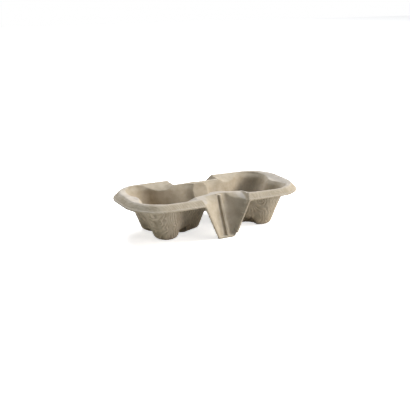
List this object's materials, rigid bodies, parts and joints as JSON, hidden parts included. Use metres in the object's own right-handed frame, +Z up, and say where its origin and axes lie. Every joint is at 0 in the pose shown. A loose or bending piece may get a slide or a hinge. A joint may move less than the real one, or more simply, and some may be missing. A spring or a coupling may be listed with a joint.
{
  "type": "moulded fibre cup carrier tray",
  "caption": "Low open carrier tray of moulded paper fibre with a cup pocket at each end, a saddle between them and a finger recess in each long side.",
  "frame": {"origin": "centre of the tray's outline, on the ground plane that the feet stand on", "axes": "+X along the long side through both cup pockets, +Y across to the far long side, +Z up out of the pockets"},
  "size_m": [0.212, 0.1002, 0.046],
  "materials": {
    "paper_fibre": "matt moulded paper fibre, uncoated"
  },
  "bodies": {
    "root": {"carrier_tray": "paper_fibre"}
  },
  "joints": []
}
